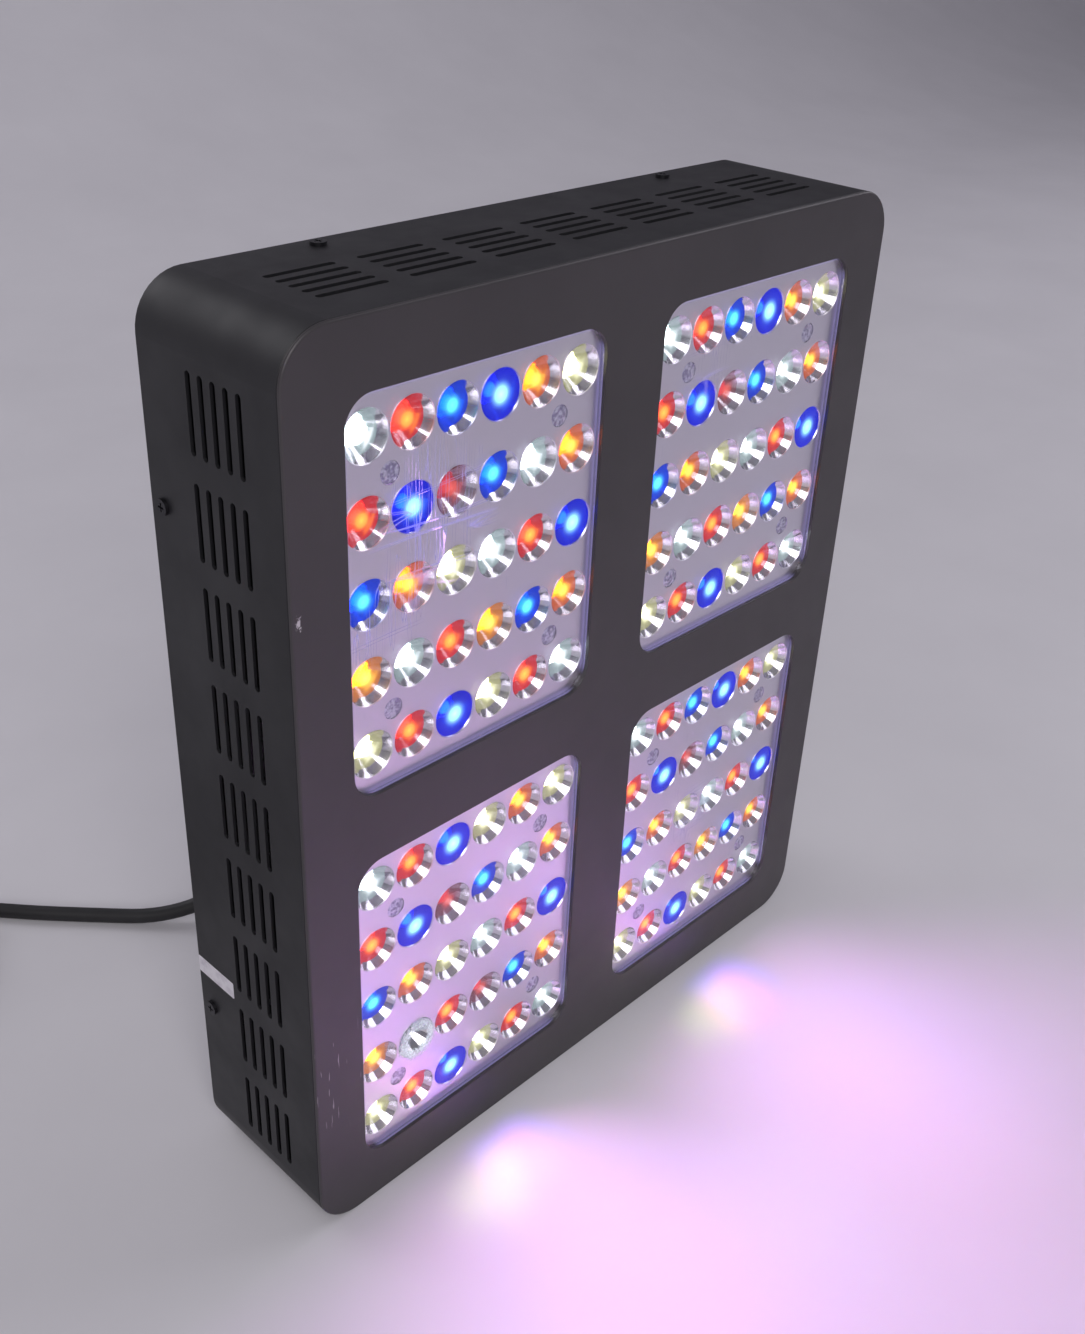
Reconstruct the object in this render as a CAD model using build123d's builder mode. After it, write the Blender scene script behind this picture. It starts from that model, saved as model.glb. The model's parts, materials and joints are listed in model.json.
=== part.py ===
"""LED grow light with four reflector modules, a vented steel case and a detachable mains cord.

The case stands on its short bottom edge. +X is to the right seen from the front, -Y is the side
that the light leaves by, and +Z is up. The origin is on the floor, under the middle of the case
and its back fittings. Lengths are millimetres. "Depth" is the distance behind the front face.
"""

import math
import os

from build123d import *

os.makedirs("parts", exist_ok=True)

# ---------------------------------------------------------------- driving dimensions
case_width = 334.0
case_height = 400.0
case_depth = 80.0
corner_radius = 20.0
front_sheet = 1.5
wall_sheet = 1.2
seam_chamfer = 0.35
fitting_height = 6.2  # how far the ring brackets stand out from the back

module_pitch_x = 159.0
module_pitch_z = 189.0
window_width = 125.5
window_height = 158.0
window_radius = 12.0

led_columns = 6
led_rows = 5
led_pitch_x = 20.7
led_pitch_z = 31.4

window_lip = 1.7  # how far the folded window edge reaches behind the front sheet
window_lip_wall = 1.2
cover_gap = 0.1
cover_thickness = 1.5
cover_side_gap = 0.2
reflector_gap = 0.2
reflector_sheet = 1.2
cup_rim_radius = 9.8
cup_foot_radius = 4.4
cup_wall = 0.8
rim_lip_width = 0.6
rim_lip_height = 0.12
well_radius = 4.4
well_depth = 4.0
board_depth = 12.0
board_thickness = 1.6
led_body_radius = 4.0
led_body_height = 1.2
led_dome_radius = 3.1

sink_width = 154.0
sink_height = 150.0
sink_base = 3.3
fin_count = 15
fin_pitch = 10.0
fin_thickness = 1.4
fin_length = 20.0

vent_length = 30.0
vent_width = 3.0
vent_group_pitch = 40.0
vent_row_pitch = 7.0
vent_rows = 5
top_vent_groups = 7
side_vent_groups = 9
vent_centre_depth = 36.0

fan_size = 80.0
fan_thickness = 25.0
fan_bore_radius = 38.5
fan_hole_pitch = 71.5
fan_hub_radius = 14.5
fan_blade_count = 7
rotor_tip_radius = 37.5
shaft_radius = 1.5
running_gap = 0.06

flange_depth = 12.8
case_screw_x = 95.0
case_screw_z = 119.0
case_screw_inset = 8.0

socket_x = 28.0
socket_raise = 17.0
switch_drop = 17.0

ring_x = 141.0
ring_wire_radius = 1.75
ring_width = 26.5
ring_drop = 20.5
ring_corner = 6.0
ring_upper_z = 366.0
ring_lower_z = 48.0
ring_axis_height = 3.2

cord_radius = 4.0
coil_centre_x = -238.5
coil_centre_depth = 283.0
coil_turn_radii = (52.0, 44.0, 36.0)
coil_layer_rise = 7.0

# ---------------------------------------------------------------- derived places
front_y = -(case_depth + fitting_height) / 2
mid_z = case_height / 2
back_y = front_y + case_depth
inner_back_depth = case_depth - wall_sheet
cover_depth = front_sheet + cover_gap
reflector_depth = cover_depth + cover_thickness + reflector_gap
sink_depth = board_depth + board_thickness + 0.1
screw_offset_x = 2 * led_pitch_x
screw_offset_z = 1.5 * led_pitch_z
post_offset_x = 73.5
post_offset_z = 60.0

module_centres = {
    "top_left": (-module_pitch_x / 2, module_pitch_z / 2),
    "top_right": (module_pitch_x / 2, module_pitch_z / 2),
    "bottom_left": (-module_pitch_x / 2, -module_pitch_z / 2),
    "bottom_right": (module_pitch_x / 2, -module_pitch_z / 2),
}
case_screws = {
    "top": ((-case_screw_x, case_screw_x), case_height),
    "side": ((-case_screw_z, case_screw_z), case_width / 2),
}

# One letter for each LED, row by row from the top left, seen from the front.
led_names = {
    "W": "cool_white",
    "V": "warm_white",
    "R": "red",
    "B": "blue",
    "D": "royal_blue",
    "O": "orange",
    "A": "amber",
    "F": "far_red",
}
usual_layout = ("WRBDOV", "RDFBWO", "BOVWRD", "AWRABO", "VRDVRW")
lower_left_layout = ("WRDVOV", "RDFBWO", "BOVWRD", "AWRFBO", "VRDVRW")
module_layouts = {name: usual_layout for name in module_centres}
module_layouts["bottom_left"] = lower_left_layout


def facing_front(depth, x=0.0, z=0.0):
    """Plane parallel to the front face, depth behind it, its normal towards the viewer."""
    return Plane(origin=(x, front_y + depth, mid_z + z), x_dir=(1, 0, 0), z_dir=(0, -1, 0))


def facing_back(depth, x=0.0, z=0.0):
    """The same plane seen from behind, its normal towards +Y."""
    return Plane(origin=(x, front_y + depth, mid_z + z), x_dir=(-1, 0, 0), z_dir=(0, 1, 0))


def save(builder, name):
    """Label a finished piece and write its STEP file."""
    builder.part.label = name
    export_step(builder.part, f"parts/{name}.step")


# ---------------------------------------------------------------- case
def make_front_panel():
    with BuildPart() as panel:
        with BuildSketch(facing_front(0)):
            RectangleRounded(case_width, case_height, corner_radius)
            with Locations(*module_centres.values()):
                RectangleRounded(window_width, window_height, window_radius, mode=Mode.SUBTRACT)
        extrude(amount=-front_sheet)
        front_edges = panel.faces().sort_by(Axis.Y)[0].outer_wire().edges()
        fillet(front_edges, 1.1)
        back_edges = panel.faces().sort_by(Axis.Y)[-1].outer_wire().edges()
        chamfer(back_edges, seam_chamfer)
        window_edges = [
            edge for wire in panel.faces().sort_by(Axis.Y)[0].inner_wires() for edge in wire.edges()
        ]
        fillet(window_edges, 0.4)
        with BuildSketch(facing_front(front_sheet)):
            with Locations(*module_centres.values()):
                RectangleRounded(
                    window_width + 2 * window_lip_wall,
                    window_height + 2 * window_lip_wall,
                    window_radius + window_lip_wall,
                )
                RectangleRounded(window_width, window_height, window_radius, mode=Mode.SUBTRACT)
        extrude(amount=-window_lip)
    save(panel, "front_panel")


def make_side_band():
    band_depth = case_depth - front_sheet
    with BuildPart() as band:
        with BuildSketch(facing_front(front_sheet)):
            RectangleRounded(case_width, case_height, corner_radius)
            offset(amount=-wall_sheet, mode=Mode.SUBTRACT)
        extrude(amount=-band_depth)
        chamfer(band.faces().sort_by(Axis.Y)[0].outer_wire().edges(), seam_chamfer)
        fillet(band.faces().sort_by(Axis.Y)[-1].outer_wire().edges(), 0.5)
        vent_y = front_y + vent_centre_depth
        with BuildSketch(Plane.XY.offset(case_height + 1)):
            with Locations((0, vent_y)):
                with GridLocations(vent_group_pitch, vent_row_pitch, top_vent_groups, vent_rows):
                    SlotOverall(vent_length, vent_width)
        extrude(amount=-(case_height + 2), mode=Mode.SUBTRACT)
        with BuildSketch(Plane.YZ.offset(case_width / 2 + 1)):
            with Locations((vent_y, mid_z)):
                with GridLocations(vent_row_pitch, vent_group_pitch, vent_rows, side_vent_groups):
                    SlotOverall(vent_length, vent_width, rotation=90)
        extrude(amount=-(case_width + 2), mode=Mode.SUBTRACT)
        cut_case_screw_holes(2.1)
    save(band, "side_band")


def cut_case_screw_holes(radius):
    """Holes for the case screws, through the top wall and through both sides."""
    screw_y = back_y - case_screw_inset
    with BuildSketch(Plane.XY.offset(case_height + 1)) as top_holes:
        with Locations((-case_screw_x, screw_y), (case_screw_x, screw_y)):
            Circle(radius)
    extrude(top_holes.sketch, amount=-corner_radius, mode=Mode.SUBTRACT)
    with BuildSketch(Plane.YZ.offset(case_width / 2 + 1)) as side_holes:
        with Locations((screw_y, mid_z - case_screw_z), (screw_y, mid_z + case_screw_z)):
            Circle(radius)
    extrude(side_holes.sketch, amount=-(case_width + 2), mode=Mode.SUBTRACT)


def make_rear_cover():
    fit_gap = 0.2
    inset = wall_sheet + fit_gap
    with BuildPart() as cover:
        with BuildSketch(facing_front(inner_back_depth)):
            RectangleRounded(case_width - 2 * inset, case_height - 2 * inset, corner_radius - inset)
            with Locations(*module_centres.values()):
                Circle(fan_bore_radius - 1, mode=Mode.SUBTRACT)
                with GridLocations(fan_hole_pitch, fan_hole_pitch, 2, 2):
                    Circle(2.2, mode=Mode.SUBTRACT)
            with Locations((-socket_x, socket_raise), (socket_x, socket_raise)):
                Rectangle(27.4, 19.4, mode=Mode.SUBTRACT)
            with Locations((-socket_x, -switch_drop), (socket_x, -switch_drop)):
                Rectangle(19.0, 13.0, mode=Mode.SUBTRACT)
            with Locations(*bracket_screw_places()):
                Circle(1.6, mode=Mode.SUBTRACT)
        extrude(amount=-wall_sheet)
        with BuildSketch(facing_front(inner_back_depth - flange_depth)):
            RectangleRounded(case_width - 2 * inset, case_height - 2 * inset, corner_radius - inset)
            offset(amount=-wall_sheet, mode=Mode.SUBTRACT)
        extrude(amount=-flange_depth)
        cut_case_screw_holes(1.6)
    save(cover, "rear_cover")


def pan_head_screw(head_radius, head_height, shank_radius, shank_length):
    """Cross-recessed screw along the local Z axis, its head standing on the local XY plane."""
    Cylinder(head_radius, head_height, align=(Align.CENTER, Align.CENTER, Align.MIN))
    Cylinder(shank_radius, shank_length, align=(Align.CENTER, Align.CENTER, Align.MAX))
    recess = head_radius * 1.1
    with Locations((0, 0, head_height)):
        Box(recess, head_radius * 0.24, head_height, mode=Mode.SUBTRACT)
        Box(head_radius * 0.24, recess, head_height, mode=Mode.SUBTRACT)


def make_case_screws():
    screw_y = back_y - case_screw_inset
    planes = [Plane(origin=(x, screw_y, case_height)) for x in (-case_screw_x, case_screw_x)]
    for z in (mid_z - case_screw_z, mid_z + case_screw_z):
        planes.append(Plane(origin=(-case_width / 2, screw_y, z), z_dir=(-1, 0, 0)))
        planes.append(Plane(origin=(case_width / 2, screw_y, z), z_dir=(1, 0, 0)))
    with BuildPart(*planes) as screws:
        pan_head_screw(3.2, 1.4, 1.5, 7.0)
    save(screws, "case_screws")


def make_label():
    label_depth = 67.0
    label_z = 102.0
    with BuildPart() as label:
        with BuildSketch(Plane(origin=(-case_width / 2, front_y + label_depth, label_z), z_dir=(-1, 0, 0),
                               x_dir=(0, 1, 0))):
            RectangleRounded(25.0, 8.5, 0.6)
        extrude(amount=0.15)
    save(label, "blank_sticker")


# ---------------------------------------------------------------- light modules
def make_window_cover(name, x, z):
    """Clear sheet that lies inside the window's folded edge, on the face of the reflector."""
    width = window_width - 2 * cover_side_gap
    height = window_height - 2 * cover_side_gap
    with BuildPart() as cover:
        with BuildSketch(facing_front(cover_depth, x, z)):
            RectangleRounded(width, height, window_radius - cover_side_gap)
        extrude(amount=-cover_thickness)
    save(cover, f"window_cover_{name}")


def make_reflector(name, x, z):
    """Plated plate with a cone-shaped cup for each LED and four screw wells."""
    face = facing_front(reflector_depth, x, z)
    cup_depth = board_depth - reflector_depth - 0.1
    deep = (Align.CENTER, Align.CENTER, Align.MAX)
    proud = (Align.CENTER, Align.CENTER, Align.MIN)
    with BuildPart(face) as reflector:
        with BuildSketch(face):
            RectangleRounded(window_width + 9, window_height + 9, window_radius + 2)
        extrude(amount=-reflector_sheet)
        with GridLocations(led_pitch_x, led_pitch_z, led_columns, led_rows):
            Cylinder(cup_rim_radius + rim_lip_width, rim_lip_height, align=proud)
            Cone(cup_foot_radius + cup_wall, cup_rim_radius + cup_wall, cup_depth, align=deep)
        with GridLocations(2 * screw_offset_x, 2 * screw_offset_z, 2, 2):
            Cylinder(well_radius + cup_wall, well_depth + cup_wall, align=deep)
        with Locations((0, 0, rim_lip_height)):
            with GridLocations(led_pitch_x, led_pitch_z, led_columns, led_rows):
                Cone(cup_foot_radius, cup_rim_radius + 0.2, cup_depth + rim_lip_height, align=deep,
                     mode=Mode.SUBTRACT)
        with GridLocations(2 * screw_offset_x, 2 * screw_offset_z, 2, 2):
            Cylinder(well_radius, well_depth, align=deep, mode=Mode.SUBTRACT)
            Cylinder(1.7, 2 * well_depth, align=deep, mode=Mode.SUBTRACT)
    save(reflector, f"reflector_{name}")


def make_led_board(name, x, z):
    with BuildPart() as board:
        with BuildSketch(facing_front(board_depth, x, z)):
            RectangleRounded(window_width + 8, window_height + 8, 6)
            with GridLocations(2 * screw_offset_x, 2 * screw_offset_z, 2, 2):
                Circle(1.7, mode=Mode.SUBTRACT)
        extrude(amount=-board_thickness)
    save(board, f"led_board_{name}")


def make_heat_sink(name, x, z):
    with BuildPart() as sink:
        with BuildSketch(facing_front(sink_depth, x, z)):
            Rectangle(sink_width, sink_height)
            with GridLocations(2 * post_offset_x, 2 * post_offset_z, 2, 2):
                Circle(1.7, mode=Mode.SUBTRACT)
            with GridLocations(2 * screw_offset_x, 2 * screw_offset_z, 2, 2):
                Circle(1.6, mode=Mode.SUBTRACT)
        extrude(amount=-sink_base)
        with BuildSketch(facing_front(sink_depth + sink_base, x, z)):
            with GridLocations(fin_pitch, 1, fin_count - 1, 1):
                Rectangle(fin_thickness, sink_height)
        extrude(amount=-fin_length)
    save(sink, f"heat_sink_{name}")


def led_places(letter):
    """Sketch coordinates, from the middle of the front, of every LED of one colour."""
    places = []
    for name, (x, z) in module_centres.items():
        for row, letters in enumerate(module_layouts[name]):
            for column, found in enumerate(letters):
                if found == letter:
                    across = x + (column - (led_columns - 1) / 2) * led_pitch_x
                    up = z + ((led_rows - 1) / 2 - row) * led_pitch_z
                    places.append((across, up))
    return places


def make_leds(letter, colour):
    with BuildPart(facing_front(board_depth)) as leds:
        with Locations(*led_places(letter)):
            Cylinder(led_body_radius, led_body_height, align=(Align.CENTER, Align.CENTER, Align.MIN))
        with Locations(*[(x, z, led_body_height) for x, z in led_places(letter)]):
            Sphere(led_dome_radius, arc_size1=0, arc_size2=90, align=(Align.CENTER, Align.CENTER, Align.MIN))
    save(leds, f"leds_{colour}")


def make_module_screws():
    head_height = 1.9
    seat_depth = reflector_depth + well_depth
    with BuildPart(*[facing_front(seat_depth, x + a * screw_offset_x, z + b * screw_offset_z)
                     for x, z in module_centres.values() for a in (-1, 1) for b in (-1, 1)]) as screws:
        pan_head_screw(3.0, head_height, 1.5, sink_depth + sink_base - seat_depth)
    save(screws, "module_screws")


def make_module_posts():
    """Posts on the back of the front panel that carry the heat sinks, and the nuts behind them."""
    thread_end = sink_depth + sink_base + 4.0
    places = [(x + a * post_offset_x, z + b * post_offset_z)
              for x, z in module_centres.values() for a in (-1, 1) for b in (-1, 1)]
    with BuildPart() as posts:
        with BuildSketch(facing_front(front_sheet)):
            with Locations(*places):
                RegularPolygon(3.4, 6)
        extrude(amount=-(sink_depth - front_sheet))
        with BuildSketch(facing_front(sink_depth)):
            with Locations(*places):
                Circle(1.5)
        extrude(amount=-(thread_end - sink_depth))
    save(posts, "module_posts")
    with BuildPart() as nuts:
        with BuildSketch(facing_front(sink_depth + sink_base)):
            with Locations(*places):
                RegularPolygon(3.2, 6)
                Circle(1.55, mode=Mode.SUBTRACT)
        extrude(amount=-2.4)
    save(nuts, "module_nuts")


# ---------------------------------------------------------------- cooling
def make_fan_frame(name, x, z):
    front = inner_back_depth - fan_thickness
    with BuildPart() as frame:
        with BuildSketch(facing_front(front, x, z)):
            RectangleRounded(fan_size, fan_size, 4)
            Circle(fan_bore_radius, mode=Mode.SUBTRACT)
            with GridLocations(fan_hole_pitch, fan_hole_pitch, 2, 2):
                Circle(2.15, mode=Mode.SUBTRACT)
        extrude(amount=-fan_thickness)
        with BuildSketch(facing_front(front, x, z)):
            Circle(13)
            with PolarLocations(25, 4, start_angle=20):
                Rectangle(30, 4)
            Circle(shaft_radius + running_gap, mode=Mode.SUBTRACT)
        extrude(amount=-3.0)
        with BuildSketch(facing_front(front + 3.0, x, z)):
            Circle(4.5)
            Circle(shaft_radius + running_gap, mode=Mode.SUBTRACT)
        extrude(amount=-1.6)
    save(frame, f"fan_frame_{name}")


def make_fan_rotor(name, x, z):
    """Hub on its shaft, with tilted blades trimmed to the rotor's tip circle."""
    hub_front = inner_back_depth - fan_thickness + 5.2
    hub_length = 18.0
    shaft_length = 4.8
    blade_chord = 21.0
    blade_pitch = 42.0
    hub_edge = 1.0
    along_axis = Plane(origin=(x, front_y + hub_front, mid_z + z), x_dir=(1, 0, 0), z_dir=(0, 0, 1))
    with BuildPart(facing_front(hub_front + hub_length / 2, x, z)) as rotor:
        with PolarLocations((fan_hub_radius + rotor_tip_radius) / 2, fan_blade_count):
            Box(rotor_tip_radius - fan_hub_radius + 3, 1.5, blade_chord, rotation=(-blade_pitch, 0, 0))
        Cylinder(rotor_tip_radius, hub_length, mode=Mode.INTERSECT)
        with BuildSketch(along_axis):
            with BuildLine():
                Polyline(
                    (0, -shaft_length),
                    (shaft_radius, -shaft_length),
                    (shaft_radius, 0),
                    (fan_hub_radius, 0),
                    (fan_hub_radius, hub_length - hub_edge),
                    (fan_hub_radius - hub_edge, hub_length),
                    (0, hub_length),
                    close=True,
                )
            make_face()
        revolve(axis=Axis(along_axis.origin, (0, 1, 0)))
    save(rotor, f"fan_rotor_{name}")


def make_fan_guards():
    """Wire rings on four diagonal legs, each leg ending in an eyelet over a fan screw."""
    wire = 0.8
    leg_wire = 0.95
    eyelet_reach = fan_hole_pitch / math.sqrt(2)
    leg_start = 9.0
    leg_end = eyelet_reach - 3.4
    with BuildPart() as guards:
        for x, z in module_centres.values():
            with Locations(facing_back(case_depth + leg_wire, x, z).location):
                with PolarLocations((leg_start + leg_end) / 2, 4, start_angle=45):
                    Cylinder(leg_wire, leg_end - leg_start, rotation=(0, 90, 0))
                for radius in (9.0, 16.0, 23.0, 30.0, 37.0):
                    Torus(radius, wire)
                with PolarLocations(eyelet_reach, 4, start_angle=45):
                    Torus(3.0, wire)
    save(guards, "fan_guards")


def make_fan_screws():
    half = fan_hole_pitch / 2
    head_seat = case_depth + 1.9
    with BuildPart(*[facing_back(head_seat, x + a * half, z + b * half)
                     for x, z in module_centres.values() for a in (-1, 1) for b in (-1, 1)]) as screws:
        pan_head_screw(3.6, 2.2, 2.0, 12.0)
    save(screws, "fan_screws")


# ---------------------------------------------------------------- power
def make_power_supplies():
    """Two ribbed supplies on the inside of the rear cover, each for two modules."""
    width, height, thickness = 90.0, 86.0, 28.0
    supply_x = 111.0
    front = inner_back_depth - thickness
    with BuildPart() as supplies:
        with BuildSketch(facing_front(front)):
            with GridLocations(2 * supply_x, 1, 2, 1):
                RectangleRounded(width, height, 3)
        extrude(amount=-thickness)
        with BuildSketch(facing_front(front)):
            with GridLocations(2 * supply_x, 9, 2, 8):
                Rectangle(width - 16, 3)
        extrude(amount=-1.2, mode=Mode.SUBTRACT)
    save(supplies, "power_supplies")


def socket_shell(x, body_length, recess=None):
    """Snap-in socket body with a flange on the back face, and an optional recess in it."""
    with BuildSketch(facing_back(case_depth, x, socket_raise)) as flange:
        RectangleRounded(31.0, 23.0, 2.5)
    extrude(flange.sketch, amount=2.2)
    with BuildSketch(facing_back(case_depth, x, socket_raise)) as body:
        RectangleRounded(27.0, 19.0, 2.0)
    extrude(body.sketch, amount=-body_length)
    if recess:
        with BuildSketch(facing_back(case_depth + 2.2, x, socket_raise)) as mouth:
            RectangleRounded(24.2, 16.4, 2.6)
        extrude(mouth.sketch, amount=-recess, mode=Mode.SUBTRACT)


pin_places = ((-7.0, -2.0), (7.0, -2.0), (0.0, 2.0))


def make_power_inlet():
    with BuildPart() as inlet:
        socket_shell(-socket_x, 24.0, recess=18.0)
        with BuildSketch(facing_back(case_depth - 15.8, -socket_x, socket_raise)):
            with Locations(*pin_places):
                Rectangle(2.0, 4.0)
        extrude(amount=13.0)
    save(inlet, "power_inlet")


def make_power_outlet():
    face_depth = case_depth + 2.2
    with BuildPart() as outlet:
        socket_shell(socket_x, 24.0)
        with BuildSketch(facing_back(face_depth, socket_x, socket_raise)):
            RectangleRounded(25.4, 17.6, 2.6)
            RectangleRounded(23.6, 15.8, 2.2, mode=Mode.SUBTRACT)
        extrude(amount=-6.0, mode=Mode.SUBTRACT)
        with BuildSketch(facing_back(face_depth, socket_x, socket_raise)):
            with Locations(*pin_places):
                Rectangle(2.6, 5.0)
        extrude(amount=-16.0, mode=Mode.SUBTRACT)
    save(outlet, "power_outlet")


switch_axis_depth = case_depth - 0.5
rocker_half_width = 7.3
rocker_half_height = 5.0
rocker_tilt = 11.0
pivot_radius = 0.8
pivot_hole_half = 6.05


def make_switch_housings():
    """Two snap-in switch bodies, each with a well for its rocker and a hole for the pivot stubs."""
    cavity_width = 2 * rocker_half_width + 1.8
    cavity_height = 2 * rocker_half_height + 0.8
    bezel_height = 2.0
    with BuildPart() as housings:
        with BuildSketch(facing_back(case_depth, 0, -switch_drop)):
            with GridLocations(2 * socket_x, 1, 2, 1):
                RectangleRounded(21.0, 15.0, 1.2)
        extrude(amount=bezel_height)
        with BuildSketch(facing_back(case_depth, 0, -switch_drop)):
            with GridLocations(2 * socket_x, 1, 2, 1):
                Rectangle(18.6, 12.7)
        extrude(amount=-16.0)
        with BuildSketch(facing_back(case_depth + bezel_height, 0, -switch_drop)):
            with GridLocations(2 * socket_x, 1, 2, 1):
                Rectangle(cavity_width, cavity_height)
        extrude(amount=-8.5, mode=Mode.SUBTRACT)
        with BuildSketch(Plane.XY.offset(mid_z - switch_drop - pivot_hole_half)):
            with Locations((0, front_y + switch_axis_depth)):
                with GridLocations(2 * socket_x, 1, 2, 1):
                    Circle(pivot_radius + running_gap)
        extrude(amount=2 * pivot_hole_half, mode=Mode.SUBTRACT)
    save(housings, "switch_housings")


def make_rocker(name, x):
    """Shallow V-shaped rocker on two pivot stubs, stored with its outlet side pressed in."""
    pivot = Plane(origin=(x, front_y + switch_axis_depth, mid_z - switch_drop)).rotated((0, 0, -rocker_tilt))
    with BuildPart() as rocker:
        with BuildSketch(pivot.offset(-rocker_half_height)):
            with BuildLine():
                Polyline(
                    (-rocker_half_width, -2.2),
                    (-rocker_half_width, 3.2),
                    (0, 1.8),
                    (rocker_half_width, 3.2),
                    (rocker_half_width, -2.2),
                    close=True,
                )
            make_face()
        extrude(amount=2 * rocker_half_height)
        fillet(rocker.edges().filter_by(Axis.Z), 0.5)
        with BuildSketch(pivot.offset(-rocker_half_height - 0.9)):
            Circle(pivot_radius)
        extrude(amount=2 * rocker_half_height + 1.8)
    save(rocker, f"rocker_{name}")


# ---------------------------------------------------------------- hanging rings
ring_axis_depth = case_depth + ring_axis_height
bracket_screw_rise = 9.5
bracket_screw_half = 8.0


def ring_places():
    """Sketch coordinates of the four ring axes, from the middle of the case."""
    return [(side * ring_x, z - mid_z) for z in (ring_upper_z, ring_lower_z) for side in (-1, 1)]


def bracket_screw_places():
    return [(x + side * bracket_screw_half, z + bracket_screw_rise)
            for x, z in ring_places() for side in (-1, 1)]


def make_ring_brackets():
    barrel_length = 13.0
    barrel_radius = 3.0
    with BuildPart() as brackets:
        for x, z in ring_places():
            with BuildSketch(facing_back(case_depth, x, z + 6.0)):
                RectangleRounded(24.0, 17.0, 2.0)
                with Locations((-bracket_screw_half, bracket_screw_rise - 6.0),
                               (bracket_screw_half, bracket_screw_rise - 6.0)):
                    Circle(1.7, mode=Mode.SUBTRACT)
            extrude(amount=1.2)
            with BuildSketch(Plane.YZ.offset(x - barrel_length / 2)):
                with Locations((front_y + ring_axis_depth, mid_z + z)):
                    Circle(barrel_radius)
                    Circle(ring_wire_radius + running_gap, mode=Mode.SUBTRACT)
            extrude(amount=barrel_length)
            with BuildSketch(Plane.YZ.offset(x - ring_width / 2)):
                with Locations((front_y + ring_axis_depth, mid_z + z)):
                    Circle(ring_wire_radius + running_gap)
            extrude(amount=ring_width, mode=Mode.SUBTRACT)
    save(brackets, "ring_brackets")


def make_bracket_screws():
    with BuildPart(*[facing_back(case_depth + 1.2, x, z) for x, z in bracket_screw_places()]) as screws:
        pan_head_screw(2.7, 1.5, 1.4, 5.0)
    save(screws, "bracket_screws")


def make_hanging_ring(name, x, z):
    """Rounded rectangle of wire whose upper bar turns in the bracket."""
    with BuildSketch(facing_back(ring_axis_depth, x, z - ring_drop / 2)) as outline:
        RectangleRounded(ring_width, ring_drop, ring_corner)
    centre_line = outline.sketch.face().outer_wire()
    with BuildPart() as ring:
        with BuildSketch(Plane(origin=centre_line @ 0, z_dir=centre_line % 0)):
            Circle(ring_wire_radius)
        sweep(path=centre_line)
    save(ring, f"hanging_ring_{name}")


# ---------------------------------------------------------------- mains cord
cord_exit_depth = case_depth + 62.0
cord_exit_z = mid_z + socket_raise
coil_entry = (-200.0, 318.0)

# Centre line of the cord between the connector and the coil, as (x, depth, z).
cord_route = [
    (-28.0, cord_exit_depth, cord_exit_z),
    (-28.0, 166.0, cord_exit_z),
    (-31.0, 192.0, 207.0),
    (-36.0, 210.0, 182.0),
    (-37.0, 218.0, 152.0),
    (-35.0, 214.0, 121.0),
    (-34.0, 202.0, 92.0),
    (-42.0, 193.0, 62.0),
    (-59.0, 192.0, 34.0),
    (-83.0, 201.0, 14.0),
    (-108.0, 219.0, 4.0),
    (-131.0, 244.0, 4.0),
    (-155.0, 269.0, 4.0),
    (-178.0, 297.0, 4.0),
    (*coil_entry, 4.0),
]


def bend_radii(points):
    """The largest arc at each inner corner that leaves a straight piece on both its runs."""
    radii = []
    for before, corner, after in zip(points, points[1:], points[2:]):
        back_run = Vector(*before) - Vector(*corner)
        next_run = Vector(*after) - Vector(*corner)
        turn = math.radians(180 - back_run.get_angle(next_run))
        radii.append(0.45 * min(back_run.length, next_run.length) / math.tan(turn / 2))
    return radii


def make_cord():
    points = [(x, front_y + depth, z) for x, depth, z in cord_route]
    radii = bend_radii(points)
    with BuildPart() as cord:
        with BuildLine() as path:
            FilletPolyline(*points, radius=radii)
        with BuildSketch(Plane(origin=path.line @ 0, z_dir=path.line % 0)):
            Circle(cord_radius)
        sweep(path=path.line)
    length = path.wire().length
    print("cord radii", [round(radius) for radius in radii])
    print("cord length", round(length), "volume", round(cord.part.volume),
          "section x length", round(math.pi * cord_radius**2 * length))
    save(cord, "mains_cord")


def make_coil():
    """Outer shape of the wound cord: three turns on the floor and two more in their hollows."""
    inner = min(coil_turn_radii) - cord_radius
    outer = max(coil_turn_radii) + cord_radius
    top = 2 * cord_radius + coil_layer_rise
    centre = Plane(origin=(coil_centre_x, front_y + coil_centre_depth, 0), x_dir=(1, 0, 0), z_dir=(0, -1, 0))
    with BuildPart() as coil:
        with BuildSketch(centre):
            with BuildLine():
                Polyline(
                    (inner + 1.5, 0),
                    (outer - 1.5, 0),
                    (outer, 1.5),
                    (outer, 6.0),
                    (outer - 4.0, top),
                    (inner + 4.0, top),
                    (inner, 6.0),
                    (inner, 1.5),
                    close=True,
                )
            make_face()
        revolve(axis=Axis((coil_centre_x, front_y + coil_centre_depth, 0), (0, 0, 1)))
    save(coil, "cord_coil")


def make_tie():
    """Strap around the coil's turns at its near side."""
    strap_width = 12.0
    mean_radius = coil_turn_radii[1]
    place = Plane(origin=(coil_centre_x + mean_radius, front_y + coil_centre_depth, 8.2),
                  x_dir=(1, 0, 0), z_dir=(0, -1, 0))
    with BuildPart() as tie:
        with BuildSketch(place.offset(-strap_width / 2)):
            RectangleRounded(28.0, 16.4, 5.0)
            RectangleRounded(25.6, 14.0, 4.0, mode=Mode.SUBTRACT)
        extrude(amount=strap_width)
    save(tie, "cord_tie")


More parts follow.
